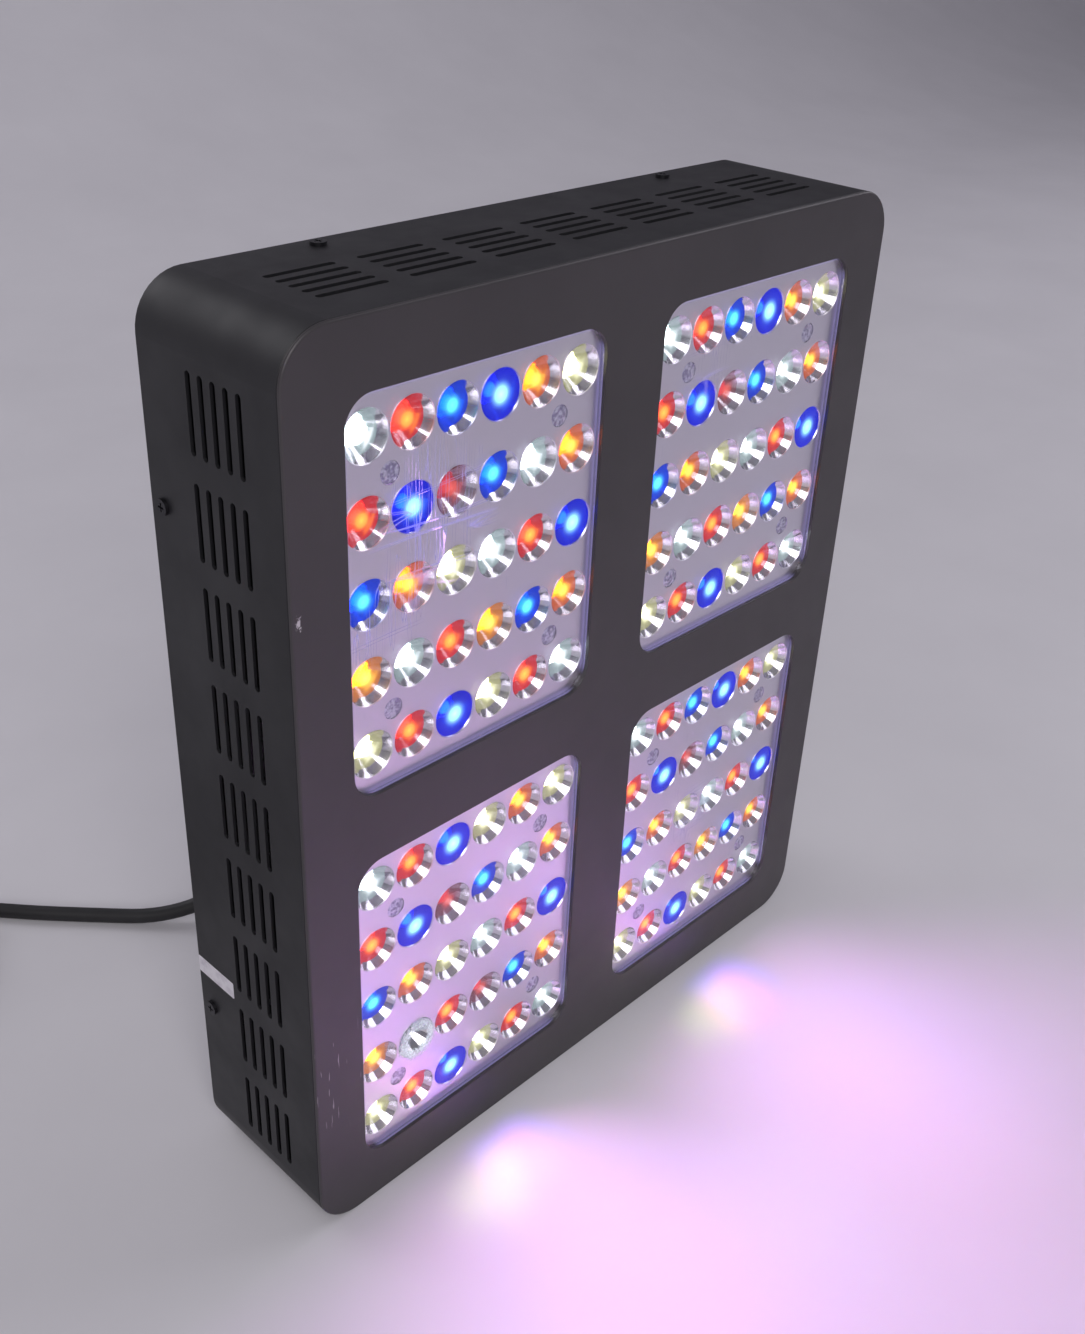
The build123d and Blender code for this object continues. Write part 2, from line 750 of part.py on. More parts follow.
def make_connector():
    """Moulded appliance connector with its strain relief, pushed into the inlet."""
    body_start = case_depth + 2.3
    body_end = body_start + 29.0
    with BuildPart() as connector:
        with BuildSketch(facing_back(case_depth - 13.0, -socket_x, socket_raise)):
            RectangleRounded(23.4, 15.6, 2.2)
            with Locations(*pin_places):
                Rectangle(2.6, 4.8, mode=Mode.SUBTRACT)
        extrude(amount=15.3)
        with BuildSketch(facing_back(body_start, -socket_x, socket_raise)):
            RectangleRounded(28.0, 20.0, 4.0)
        with BuildSketch(facing_back(body_start + 17.0, -socket_x, socket_raise)):
            RectangleRounded(27.0, 19.0, 5.0)
        with BuildSketch(facing_back(body_end, -socket_x, socket_raise)):
            RectangleRounded(15.0, 14.0, 6.5)
        loft()
        with BuildSketch(facing_back(body_end, -socket_x, socket_raise)):
            Circle(6.6)
        with BuildSketch(facing_back(cord_exit_depth, -socket_x, socket_raise)):
            Circle(4.7)
        loft()
    save(connector, "cord_connector")


plug_axis_z = 12.0
plug_start = (coil_centre_x - 56.0, coil_centre_depth - 12.0)
relief_length = 28.0
plug_length = 32.0


def along_plug(distance, x=0.0, z=0.0):
    """Plane across the plug's axis, distance past the start of its strain relief."""
    return Plane(origin=(plug_start[0] + x, front_y + plug_start[1] - distance, plug_axis_z + z),
                 x_dir=(1, 0, 0), z_dir=(0, -1, 0))


def make_plug():
    """Moulded three-pin plug lying beside the coil."""
    with BuildPart() as plug:
        with BuildSketch(along_plug(0)):
            Circle(4.7)
        with BuildSketch(along_plug(relief_length)):
            Circle(7.5)
        loft()
        with BuildSketch(along_plug(relief_length)):
            RectangleRounded(19.0, 18.0, 7.0)
        with BuildSketch(along_plug(relief_length + 16.0)):
            RectangleRounded(26.0, 22.0, 7.0)
        with BuildSketch(along_plug(relief_length + plug_length)):
            RectangleRounded(27.0, 23.6, 6.0)
        loft()
    save(plug, "mains_plug")
    with BuildPart() as pins:
        with BuildSketch(along_plug(relief_length + plug_length, z=3.0)):
            with Locations((-6.35, 0), (6.35, 0)):
                Rectangle(1.5, 6.3)
        extrude(amount=17.0)
        with BuildSketch(along_plug(relief_length + plug_length, z=-5.0)):
            Circle(2.4)
        extrude(amount=20.0)
    save(pins, "plug_pins")


make_front_panel()
make_side_band()
make_rear_cover()
make_case_screws()
make_label()
for module, (module_x, module_z) in module_centres.items():
    make_window_cover(module, module_x, module_z)
    make_reflector(module, module_x, module_z)
    make_led_board(module, module_x, module_z)
    make_heat_sink(module, module_x, module_z)
    make_fan_frame(module, module_x, module_z)
    make_fan_rotor(module, module_x, module_z)
for led_letter, led_colour in led_names.items():
    make_leds(led_letter, led_colour)
make_module_screws()
make_module_posts()
make_fan_guards()
make_fan_screws()
make_power_supplies()
make_power_inlet()
make_power_outlet()
make_switch_housings()
make_rocker("left", -socket_x)
make_rocker("right", socket_x)
make_ring_brackets()
make_bracket_screws()
for corner, (corner_x, corner_z) in zip(module_centres, ring_places()):
    make_hanging_ring(corner, corner_x, corner_z)
make_cord()
make_coil()
make_tie()
make_connector()
make_plug()
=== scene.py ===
"""Looks of an LED grow light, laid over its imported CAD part. All lengths are in metres."""
import math

import bpy
from mathutils import Matrix, Vector
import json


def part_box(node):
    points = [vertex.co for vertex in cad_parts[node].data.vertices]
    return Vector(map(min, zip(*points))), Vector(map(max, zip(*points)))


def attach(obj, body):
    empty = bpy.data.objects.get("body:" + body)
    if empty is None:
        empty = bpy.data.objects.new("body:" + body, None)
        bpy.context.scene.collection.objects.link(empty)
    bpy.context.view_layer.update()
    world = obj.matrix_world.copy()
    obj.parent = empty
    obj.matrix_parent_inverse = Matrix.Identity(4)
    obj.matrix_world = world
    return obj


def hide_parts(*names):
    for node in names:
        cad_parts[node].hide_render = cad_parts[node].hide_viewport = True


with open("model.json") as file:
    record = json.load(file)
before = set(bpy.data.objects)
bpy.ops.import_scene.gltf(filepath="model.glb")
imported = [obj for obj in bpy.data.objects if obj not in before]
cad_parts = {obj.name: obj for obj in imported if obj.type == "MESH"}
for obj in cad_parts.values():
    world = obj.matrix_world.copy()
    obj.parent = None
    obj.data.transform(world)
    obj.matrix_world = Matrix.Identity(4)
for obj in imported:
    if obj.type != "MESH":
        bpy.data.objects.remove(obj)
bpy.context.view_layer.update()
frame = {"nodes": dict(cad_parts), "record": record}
modules = ("top_left", "top_right", "bottom_left", "bottom_right")
slot_of = {row["node"]: row["material_slot"] for row in frame["record"]["subparts"]}

camera_place = (-0.41328, -0.38686, 0.53627)
camera_azimuth = math.radians(-46.99)
camera_elevation = math.radians(29.67)
camera_roll = math.radians(2.65)
camera_lens = 39.02
camera_shift = (-0.0009, -0.0205)

led_columns, led_rows = 6, 5
led_pitch = (0.0207, 0.0314)
burst_led = ("bottom_left", 2, 4)

# Colour at the dome's tip, colour at its foot, strength of the emission.
led_glow = {
    "cool_white": ((0.86, 1.0, 0.96), (0.66, 0.86, 0.82), 12.0),
    "warm_white": ((1.0, 1.0, 0.62), (0.86, 0.84, 0.34), 11.0),
    "red": ((1.0, 0.035, 0.015), (1.0, 0.012, 0.006), 16.0),
    "orange": ((1.0, 0.20, 0.010), (1.0, 0.10, 0.002), 14.0),
    "amber": ((1.0, 0.34, 0.02), (1.0, 0.20, 0.004), 14.0),
    "blue": ((0.02, 0.40, 1.0), (0.002, 0.10, 1.0), 14.0),
    "royal_blue": ((0.04, 0.22, 1.0), (0.0, 0.008, 1.0), 22.0),
    "far_red": ((0.60, 0.03, 0.04), (0.30, 0.01, 0.02), 2.0),
}

# Colour of the painted glow on the lens, colour of its paler painted hot spot in the middle, share of
# glow over the clear part.
lens_flood = {
    "cool_white": ((0.55, 0.75, 0.72), (1.0, 1.0, 1.0), 0.32),
    "warm_white": ((0.72, 0.72, 0.30), (1.0, 1.0, 0.7), 0.34),
    "red": ((0.80, 0.006, 0.020), (1.0, 0.34, 0.05), 0.58),
    "orange": ((0.85, 0.13, 0.010), (1.0, 0.62, 0.08), 0.48),
    "amber": ((0.85, 0.24, 0.010), (1.0, 0.62, 0.10), 0.48),
    "blue": ((0.002, 0.060, 0.80), (0.10, 0.70, 1.0), 0.60),
    "royal_blue": ((0.0, 0.010, 0.80), (0.35, 0.85, 1.0), 0.72),
    "far_red": ((0.30, 0.020, 0.040), (0.9, 0.15, 0.12), 0.25),
}

cord_diameter = 0.008
coil_centre = (-0.2385, 0.2399)
coil_start = math.radians(42.3)
coil_turns = 4.3825


# ---------------------------------------------------------------- camera
def make_camera():
    """The viewing camera: place, direction, slight roll and shifted picture centre."""
    back = Vector((
        math.sin(camera_azimuth) * math.cos(camera_elevation),
        -math.cos(camera_azimuth) * math.cos(camera_elevation),
        math.sin(camera_elevation),
    ))
    level = (-back).cross(Vector((0, 0, 1))).normalized()
    upright = level.cross(-back)
    c, s = math.cos(camera_roll), math.sin(camera_roll)
    right = c * level + s * upright
    up = -s * level + c * upright
    data = bpy.data.cameras.new("camera")
    data.lens = camera_lens
    data.sensor_width = 36
    data.shift_x, data.shift_y = camera_shift
    data.clip_start = 0.01
    data.clip_end = 60
    camera = bpy.data.objects.new("camera", data)
    bpy.context.scene.collection.objects.link(camera)
    turn = Matrix((right, up, back)).transposed()
    camera.matrix_world = Matrix.Translation(camera_place) @ turn.to_4x4()
    bpy.context.scene.camera = camera


# ---------------------------------------------------------------- helpers
def add_object(name, vertices, faces, material, smooth=True):
    mesh = bpy.data.meshes.new(name)
    mesh.from_pydata([tuple(v) for v in vertices], [], faces)
    mesh.validate()
    for polygon in mesh.polygons:
        polygon.use_smooth = smooth
    piece = bpy.data.objects.new(name, mesh)
    bpy.context.scene.collection.objects.link(piece)
    mesh.materials.append(material)
    return piece


class Shader:
    """A new material with short ways to add its nodes."""

    def __init__(self, name):
        self.material = bpy.data.materials.new(name)
        self.material.use_nodes = True
        self.nodes = self.material.node_tree.nodes
        self.links = self.material.node_tree.links
        self.surface = self.nodes["Principled BSDF"]
        self.output = self.nodes["Material Output"]
        self.place = self.nodes.new("ShaderNodeTexCoord").outputs["Object"]

    def put(self, value, socket):
        if isinstance(value, bpy.types.NodeSocket):
            self.links.new(value, socket)
        elif isinstance(value, (tuple, list)) and len(value) == 3 and socket.type == "RGBA":
            socket.default_value = (*value, 1)
        else:
            socket.default_value = value

    def set(self, **values):
        for key, value in values.items():
            self.put(value, self.surface.inputs[key.replace("_", " ")])

    def math(self, operation, a, b=0.0, clamp=False):
        node = self.nodes.new("ShaderNodeMath")
        node.operation = operation
        node.use_clamp = clamp
        self.put(a, node.inputs[0])
        self.put(b, node.inputs[1])
        return node.outputs[0]

    def noise(self, scale, detail=3.0, stretch=(1, 1, 1), roughness=0.55, turn=(0, 0, 0)):
        mapping = self.nodes.new("ShaderNodeMapping")
        mapping.inputs["Scale"].default_value = stretch
        mapping.inputs["Rotation"].default_value = turn
        self.links.new(self.place, mapping.inputs["Vector"])
        node = self.nodes.new("ShaderNodeTexNoise")
        node.inputs["Scale"].default_value = scale
        node.inputs["Detail"].default_value = detail
        node.inputs["Roughness"].default_value = roughness
        self.links.new(mapping.outputs[0], node.inputs["Vector"])
        return node.outputs[0]

    def hairlines(self, scale, stretch, turn):
        """Thin long lines: the middle contour of a stretched noise."""
        field = self.noise(scale, 1, stretch, turn=(0, turn, 0))
        away = self.math("ABSOLUTE", self.math("SUBTRACT", field, 0.5))
        return self.span(away, 0.0, 0.010, 1.0, 0.0)

    def span(self, value, low, high, start=0.0, end=1.0):
        """Value from low to high laid onto start to end, held at both ends."""
        node = self.nodes.new("ShaderNodeMapRange")
        self.put(value, node.inputs["Value"])
        for key, number in (("From Min", low), ("From Max", high), ("To Min", start), ("To Max", end)):
            node.inputs[key].default_value = number
        return node.outputs["Result"]

    def mix(self, share, a, b):
        node = self.nodes.new("ShaderNodeMix")
        node.data_type = "RGBA"
        self.put(share, node.inputs["Factor"])
        self.put(a, node.inputs[6])
        self.put(b, node.inputs[7])
        return node.outputs[2]

    def axis(self, name):
        node = self.nodes.new("ShaderNodeSeparateXYZ")
        self.links.new(self.place, node.inputs[0])
        return node.outputs[name]

    def distance(self, point, stretch=(1, 1, 1)):
        """Distance of the shaded point from a place, with each axis weighted."""
        offset = self.nodes.new("ShaderNodeVectorMath")
        offset.operation = "SUBTRACT"
        self.links.new(self.place, offset.inputs[0])
        offset.inputs[1].default_value = point
        scaled = self.nodes.new("ShaderNodeVectorMath")
        scaled.operation = "MULTIPLY"
        self.links.new(offset.outputs[0], scaled.inputs[0])
        scaled.inputs[1].default_value = stretch
        length = self.nodes.new("ShaderNodeVectorMath")
        length.operation = "LENGTH"
        self.links.new(scaled.outputs[0], length.inputs[0])
        return length.outputs["Value"]

    def facing(self):
        node = self.nodes.new("ShaderNodeLayerWeight")
        node.inputs["Blend"].default_value = 0.5
        return node.outputs["Facing"]

    def bump(self, height, strength, depth):
        node = self.nodes.new("ShaderNodeBump")
        node.inputs["Strength"].default_value = strength
        node.inputs["Distance"].default_value = depth
        self.put(height, node.inputs["Height"])
        self.put(node.outputs[0], self.surface.inputs["Normal"])

    def blend(self, share, a, b):
        node = self.nodes.new("ShaderNodeMixShader")
        self.put(share, node.inputs[0])
        self.links.new(a, node.inputs[1])
        self.links.new(b, node.inputs[2])
        return node.outputs[0]

    def shade(self, kind, **values):
        node = self.nodes.new(kind)
        for key, value in values.items():
            self.put(value, node.inputs[key.replace("_", " ")])
        return node.outputs[0]

    def show(self, shader):
        self.links.new(shader, self.output.inputs["Surface"])


# ---------------------------------------------------------------- stage and light
def floor_material():
    s = Shader("pale_floor")
    paper = s.span(s.noise(6, 4), 0.3, 0.7)
    s.set(Base_Color=s.mix(paper, (0.72, 0.71, 0.74), (0.76, 0.75, 0.78)), Roughness=0.62)
    s.bump(s.noise(900, 2), 0.05, 0.0002)
    return s.material


def make_floor():
    """Plain pale floor that sweeps up into a wall far behind the lamp."""
    half, front, back, bend, top, steps = 30.0, -25.0, 2.6, 1.6, 9.0, 24
    profile = [(front, 0.0), (back - bend, 0.0)]
    for step in range(1, steps + 1):
        angle = math.pi / 2 * step / steps
        profile.append((back - bend + bend * math.sin(angle), bend - bend * math.cos(angle)))
    profile.append((back, top))
    vertices = [(x, y, z) for y, z in profile for x in (-half, half)]
    faces = [(2 * i, 2 * i + 1, 2 * i + 3, 2 * i + 2) for i in range(len(profile) - 1)]
    floor = add_object("floor", vertices, faces, floor_material())


def add_area(name, place, target, size, power, colour, spread=180.0, seen=False):
    data = bpy.data.lights.new(name, "AREA")
    data.shape = "RECTANGLE"
    data.size, data.size_y = size
    data.energy = power
    data.color = colour
    data.spread = math.radians(spread)
    light = bpy.data.objects.new(name, data)
    light.location = place
    light.rotation_euler = (Vector(target) - Vector(place)).to_track_quat("-Z", "Y").to_euler()
    light.visible_camera = False
    light.visible_glossy = seen
    bpy.context.scene.collection.objects.link(light)


def make_room_light():
    world = bpy.data.worlds.new("room")
    bpy.context.scene.world = world
    world.use_nodes = True
    background = world.node_tree.nodes["Background"]
    background.inputs["Color"].default_value = (0.52, 0.50, 0.58, 1)
    background.inputs["Strength"].default_value = 0.34


def make_studio_lights():
    """Soft dim studio light, so that the lit modules still stand out."""
    middle = (0, 0, 0.2)
    panels = [
        ("soft_key", (-1.6, -2.0, 2.2), (1.8, 1.8), 44.0, (1.0, 0.97, 0.98)),
        ("soft_side", (2.2, -0.6, 1.6), (1.6, 1.6), 14.0, (0.95, 0.92, 1.0)),
        ("soft_rear", (-0.8, 2.4, 1.8), (1.8, 1.8), 20.0, (0.97, 0.96, 1.0)),
    ]
    for name, place, size, power, colour in panels:
        add_area(name, place, middle, size, power, colour, seen=True)


def make_spill_lights():
    """Each module's beam on the floor: a pale core and coloured fringes.

    A beam is its name, colour, watts, spread in degrees, and how far it leans sideways and down.
    """
    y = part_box("front_panel")[0].y - 0.004
    beams = [
        ("core", (0.86, 0.42, 1.0), 0.36, 130, -0.10, -0.24),
        ("blue", (0.10, 0.10, 1.0), 0.0040, 34, 0.25, -2.1),
        ("red", (1.0, 0.16, 0.10), 0.0025, 30, -0.05, -1.6),
        ("lime", (0.75, 1.0, 0.30), 0.0014, 26, -0.70, -1.7),
    ]
    for name in modules:
        x, _, z = module_middle[name]
        for beam, colour, power, spread, side, drop in beams:
            size = (0.12, 0.15) if beam == "core" else (0.03, 0.03)
            side -= 0.45 if beam == "core" and x < 0 else 0.0
            start = z if beam == "core" else z - 0.06
            target = (x + side, y - 1, start + drop)
            add_area(f"{beam}_{name}", (x, y, start), target, size, power, colour, spread)


# ---------------------------------------------------------------- case materials
def powder_coat_material(name, colour, roughness):
    """Fine textured paint, rubbed a little paler in places."""
    s = Shader(name)
    rubbed = s.span(s.noise(14, 5), 0.50, 0.80)
    worn = tuple(1.5 * c for c in colour)
    s.set(Base_Color=s.mix(rubbed, colour, worn), Specular_IOR_Level=0.40,
          Roughness=s.span(s.noise(40, 4), 0.3, 0.7, roughness - 0.06, roughness + 0.06))
    s.bump(s.noise(2600, 2), 0.25, 0.0001)
    return s.material


def front_material():
    """The front's satin paint, with a chip on the left edge and light scratches low on the left."""
    s = Shader("front_paint")
    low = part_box("front_panel")[0]
    chip_place = (low.x + 0.003, low.y, 0.300)
    scratch_place = (low.x + 0.012, low.y, 0.085)
    chip = s.span(s.math("ADD", s.distance(chip_place, (1, 1, 0.45)),
                         s.math("MULTIPLY", s.noise(900, 2), 0.004)), 0.0026, 0.0032, 0.8, 0)
    lines = s.span(s.noise(70, 2, (9, 1, 0.8), turn=(0, 0.25, 0)), 0.66, 0.69)
    patch = s.span(s.distance(scratch_place, (1.4, 1, 0.6)), 0.010, 0.022, 1, 0)
    scratch = s.math("MULTIPLY", s.math("MULTIPLY", lines, patch), 0.35)
    mark = s.math("MAXIMUM", chip, scratch, True)
    coat = s.mix(s.span(s.noise(9, 5), 0.35, 0.75), (0.050, 0.046, 0.049), (0.066, 0.060, 0.064))
    s.set(Base_Color=s.mix(mark, coat, (0.75, 0.72, 0.74)), Specular_IOR_Level=0.6,
          Metallic=0.25, Roughness=s.span(s.noise(60, 4), 0.3, 0.7, 0.38, 0.46))
    s.bump(s.noise(3000, 2), 0.3, 0.00012)
    return s.material


def reflector_material():
    """Plated plate: satin face, brighter cup walls with faint turning lines."""
    s = Shader("reflector_plating")
    face_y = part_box("reflector_top_left")[0].y
    inside = s.span(s.axis("Y"), face_y + 0.0003, face_y + 0.0006)
    smear = s.noise(30, 4)
    rough = s.math("ADD", s.span(smear, 0.3, 0.7, 0.28, 0.36), s.math("MULTIPLY", inside, -0.20))
    s.set(Base_Color=s.mix(inside, (0.84, 0.80, 0.87), (0.86, 0.85, 0.88)), Metallic=1.0, Roughness=rough)
    s.bump(s.noise(260, 3, (1, 1, 0.2)), 0.06, 0.0004)
    return s.material


# ---------------------------------------------------------------- window covers
def cover_material(module, marks):
    """Clear sheet, frosted at its edge; marks lists (point, radius, strength) patches of scratches. The
    frosted edge and the scratches carry a painted violet glow.
    """
    s = Shader("cover_" + module)
    s.nodes.remove(s.surface)
    grazing = s.math("POWER", s.facing(), 5.0)
    mirrored = s.math("ADD", 0.03, s.math("MULTIPLY", grazing, 0.8))
    gloss = s.shade("ShaderNodeBsdfGlossy", Roughness=0.06, Color=(1, 1, 1))
    clear = s.shade("ShaderNodeBsdfTransparent", Color=(0.97, 0.97, 0.985))
    sheet = s.blend(mirrored, clear, gloss)
    white = s.shade("ShaderNodeBsdfTranslucent", Color=(0.8, 0.78, 0.9))
    # Painted glow: violet emission mixed into the frosted edge and scratches, standing in for LED light
    # caught in them.
    painted_glow = s.shade("ShaderNodeEmission", Color=(0.52, 0.46, 1.0), Strength=0.9)
    frost_and_painted_glow = s.blend(0.65, white, painted_glow)
    upright = s.hairlines(26, (9, 1, 0.5), 0.08)
    slanted = s.hairlines(16, (0.5, 1, 5), -0.35)
    lines = s.math("MAXIMUM", upright, slanted)
    total = s.math("MULTIPLY", s.span(s.noise(40, 3, (10, 1, 1)), 0.70, 0.76), 0.10)
    middle = module_middle[module]
    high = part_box("window_cover_" + module)[1]
    margin, fade = 0.0016, 0.0012
    half_x = high.x - middle.x - margin
    half_z = high.z - middle.z - margin
    from_x = s.math("ABSOLUTE", s.math("SUBTRACT", s.axis("X"), middle.x))
    from_z = s.math("ABSOLUTE", s.math("SUBTRACT", s.axis("Z"), middle.z))
    # Mask of the frosted edge, which also carries the painted violet glow of edge-lit light.
    edge = s.math("MAXIMUM", s.span(from_x, half_x, half_x + fade), s.span(from_z, half_z, half_z + fade))
    total = s.math("MAXIMUM", total, s.math("MULTIPLY", edge, 0.30))
    for point, radius, strength in marks:
        patch = s.span(s.distance(point), radius * 0.55, radius, strength, 0)
        total = s.math("MAXIMUM", total, s.math("MULTIPLY", lines, patch))
    return s, s.blend(total, sheet, frost_and_painted_glow)


def broken_cover_material(module, centre):
    """The cover with one burst hole: open middle and a frosted white rim, half of it a painted glow."""
    s, shader = cover_material(module, [])
    ragged = s.math("ADD", s.distance(centre, (1, 0, 1)), s.math("MULTIPLY", s.noise(240, 3), 0.006))
    rim = s.math("MULTIPLY", s.span(ragged, 0.0100, 0.0135, 1, 0), s.span(ragged, 0.0092, 0.0100))
    flakes = s.span(s.noise(900, 3), 0.36, 0.52)
    # The rim is half white diffuse and half painted glow: emission that makes it shine though nothing
    # lights it.
    white = s.blend(0.5, s.shade("ShaderNodeBsdfDiffuse", Color=(0.9, 0.92, 0.95)),
                    s.shade("ShaderNodeEmission", Color=(0.75, 0.85, 0.95), Strength=1.0))
    shader = s.blend(s.math("MULTIPLY", rim, flakes), shader, white)
    hole = s.span(ragged, 0.0090, 0.0096, 1, 0)
    s.show(s.blend(hole, shader, s.shade("ShaderNodeBsdfTransparent")))
    return s.material


def middle_of(node):
    low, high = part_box(node)
    return (low + high) / 2


def led_place(module, column, row):
    """Centre of one LED's cup, counted from the module's upper left."""
    x, y, z = module_middle[module]
    across = column - (led_columns + 1) / 2
    up = (led_rows + 1) / 2 - row
    return x + across * led_pitch[0], y, z + up * led_pitch[1]


def make_covers():
    spots = {
        "top_left": [
            (led_place("top_left", 2.5, 2.2), 0.032, 0.8),
            (led_place("top_left", 1.2, 3.1), 0.024, 0.7),
        ],
        "top_right": [(led_place("top_right", 2, 1.5), 0.018, 0.3)],
        "bottom_right": [(led_place("bottom_right", 3, 3), 0.02, 0.2)],
    }
    for name in modules:
        node = frame["nodes"]["window_cover_" + name]
        if name == "bottom_left":
            material = broken_cover_material(name, led_place(*burst_led))
        else:
            s, shader = cover_material(name, spots[name])
            s.show(shader)
            material = s.material
        paint(node, material)


# ---------------------------------------------------------------- materials by slot
def led_material(colour):
    """Lit LED: paler tip, deeper colour at its foot; dark where its cover is burst."""
    core, edge, strength = led_glow[colour]
    s = Shader("led_" + colour)
    tip_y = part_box("leds_" + colour)[0].y
    rim = s.span(s.axis("Y"), tip_y + 0.0005, tip_y + 0.0025)
    alive = s.span(s.distance(led_place(*burst_led), (1, 0, 1)), 0.009, 0.010)
    grain = s.span(s.noise(500, 2), 0.3, 0.7, 0.9, 1.1)
    s.set(Base_Color=(0.10, 0.10, 0.10), Roughness=0.15, Emission_Color=s.mix(rim, core, edge),
          Emission_Strength=s.math("MULTIPLY", s.math("MULTIPLY", alive, strength), grain))
    s.material.cycles.emission_sampling = "NONE"
    return s.material


def plain_material(name, colour, roughness, metallic=0.0, grain=1500, vary=1.25):
    """One colour with soft patches up to vary times as bright, uneven gloss and a fine grain."""
    s = Shader(name)
    other = tuple(min(1.0, c * vary) for c in colour)
    s.set(Base_Color=s.mix(s.span(s.noise(35, 4), 0.35, 0.7), colour, other), Metallic=metallic,
          Roughness=s.span(s.noise(90, 3), 0.3, 0.7, roughness * 0.85, min(1.0, roughness * 1.15)))
    s.bump(s.noise(grain, 2), 0.15, 0.0001)
    return s.material


def sticker_material():
    """Blank white label, a little dusty."""
    s = Shader("sticker_white")
    dust = s.span(s.noise(180, 4), 0.45, 0.75)
    s.set(Base_Color=s.mix(dust, (0.80, 0.78, 0.82), (0.55, 0.52, 0.58)), Roughness=0.5)
    s.bump(s.noise(400, 2), 0.1, 0.0001)
    return s.material


def slot_materials():
    """The finish of each material slot in the record."""
    finishes = {
        "powder_coat": powder_coat_material("powder_coat", (0.014, 0.014, 0.016), 0.50),
        "steel_dark": plain_material("steel_dark", (0.03, 0.03, 0.034), 0.42, 0.8),
        "reflector_plating": reflector_material(),
        "board_white": plain_material("board_white", (0.72, 0.72, 0.70), 0.55),
        "bare_aluminium": plain_material("bare_aluminium", (0.62, 0.63, 0.65), 0.36, 1.0),
        "fan_plastic": plain_material("fan_plastic", (0.014, 0.014, 0.015), 0.45, vary=1.6),
        "switch_plastic": plain_material("switch_plastic", (0.012, 0.012, 0.013), 0.32, vary=1.4),
        "bright_steel": plain_material("bright_steel", (0.62, 0.62, 0.64), 0.24, 1.0),
        "zinc_steel": plain_material("zinc_steel", (0.50, 0.51, 0.55), 0.34, 1.0),
        "supply_case": plain_material("supply_case", (0.30, 0.31, 0.32), 0.45, 1.0),
        "cord_rubber": plain_material("cord_rubber", (0.010, 0.010, 0.011), 0.55, grain=900, vary=1.7),
        "plug_brass": plain_material("plug_brass", (0.72, 0.55, 0.28), 0.28, 1.0),
        "tie_strap": plain_material("tie_strap", (0.013, 0.013, 0.014), 0.6, vary=1.6),
        "sticker_white": sticker_material(),
    }
    for colour in led_glow:
        finishes["led_" + colour] = led_material(colour)
    return finishes


def paint(node, material):
    node.data.materials.clear()
    node.data.materials.append(material)


def paint_nodes(finishes):
    for name, node in frame["nodes"].items():
        if not name.startswith("window_cover"):
            paint(node, finishes[slot_of[name]])
    paint(frame["nodes"]["front_panel"], front_material())
    make_covers()


# ---------------------------------------------------------------- cord
def coil_turn(t):
    """Radius and height, in millimetres, of the cord's centre after t turns of the coil."""
    steps = [
        (0.0, 52.0, 4), (0.75, 52.0, 4), (1.0, 43.8, 4), (1.75, 43.8, 4), (2.0, 35.6, 4), (2.5, 35.6, 4),
        (2.75, 39.6, 12.2), (3.02, 39.6, 12.2), (3.12, 39.6, 11.4), (3.22, 39.6, 11.4), (3.3, 41.0, 12.2),
        (3.45, 46.5, 12.2), (3.55, 48.0, 11.8), (3.72, 48.0, 11.8), (3.8, 48.0, 12.2), (4.1, 48.0, 12.2),
        (coil_turns, 55.8, 12.2),
    ]
    for (t0, r0, z0), (t1, r1, z1) in zip(steps, steps[1:]):
        if t <= t1:
            part = (t - t0) / (t1 - t0)
            part = part * part * (3 - 2 * part)
            return r0 + part * (r1 - r0), z0 + part * (z1 - z0)
    return steps[-1][1], steps[-1][2]


def cord_route():
    """Centre line from the connector's strain relief round to the plug's."""
    front = 43.1
    route = [
        (-28, 142, 217), (-28, 154, 216.4), (-28.5, 166, 215), (-31, 190, 206), (-35, 209, 182),
        (-37, 217, 152), (-35.5, 214, 121), (-35, 203, 91), (-42, 193, 61), (-59, 192, 34),
        (-83, 201, 14.5), (-108, 219, 5), (-131, 244, 4), (-155, 269, 4), (-178, 296, 4),
    ]
    points = [(x / 1000, (depth - front) / 1000, z / 1000) for x, depth, z in route]
    steps = int(coil_turns * 24)
    for step in range(steps + 1):
        t = step * coil_turns / steps
        radius, height = coil_turn(t)
        angle = coil_start + 2 * math.pi * t
        points.append((
            coil_centre[0] + radius / 1000 * math.cos(angle),
            coil_centre[1] + radius / 1000 * math.sin(angle),
            height / 1000,
        ))
    x, y, z = points[-1]
    points += [(x, y - 0.012, z - 0.0001), (x, y - 0.024, 0.012)]
    return points


def make_relief_ribs(name, start, end, radii, material):
    """Moulded rings along a tapered strain relief whose axis lies along Y."""
    rings, sides, section = 7, 32, 8
    vertices, faces = [], []
    for ring in range(rings):
        part = (ring + 0.6) / (rings + 0.2)
        y = start[1] + part * (end[1] - start[1])
        middle = radii[0] + part * (radii[1] - radii[0])
        first = len(vertices)
        for i in range(sides):
            around = 2 * math.pi * i / sides
            for j in range(section):
                across = 2 * math.pi * j / section
                radius = middle + 0.0007 * math.cos(across)
                vertices.append((start[0] + radius * math.cos(around), y + 0.0010 * math.sin(across),
                                 start[2] + radius * math.sin(around)))
        for i in range(sides):
            for j in range(section):
                a, b = first + i * section, first + (i + 1) % sides * section
                k = (j + 1) % section
                faces.append((a + j, a + k, b + k, b + j))
    ribs = add_object(name, vertices, faces, material)
    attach(ribs, "root")


def make_reliefs(material):
    """Ribs on the strain reliefs of the connector and of the plug."""
    x, y, z = cord_route()[0]
    make_relief_ribs("connector_ribs", (x, y - 0.0307, z), (x, y, z), (0.0066, 0.0047), material)
    low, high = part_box("mains_plug")
    x, z = (low.x + high.x) / 2, 0.012
    make_relief_ribs("plug_ribs", (x, high.y, z), (x, high.y - 0.028, z), (0.0047, 0.0075), material)


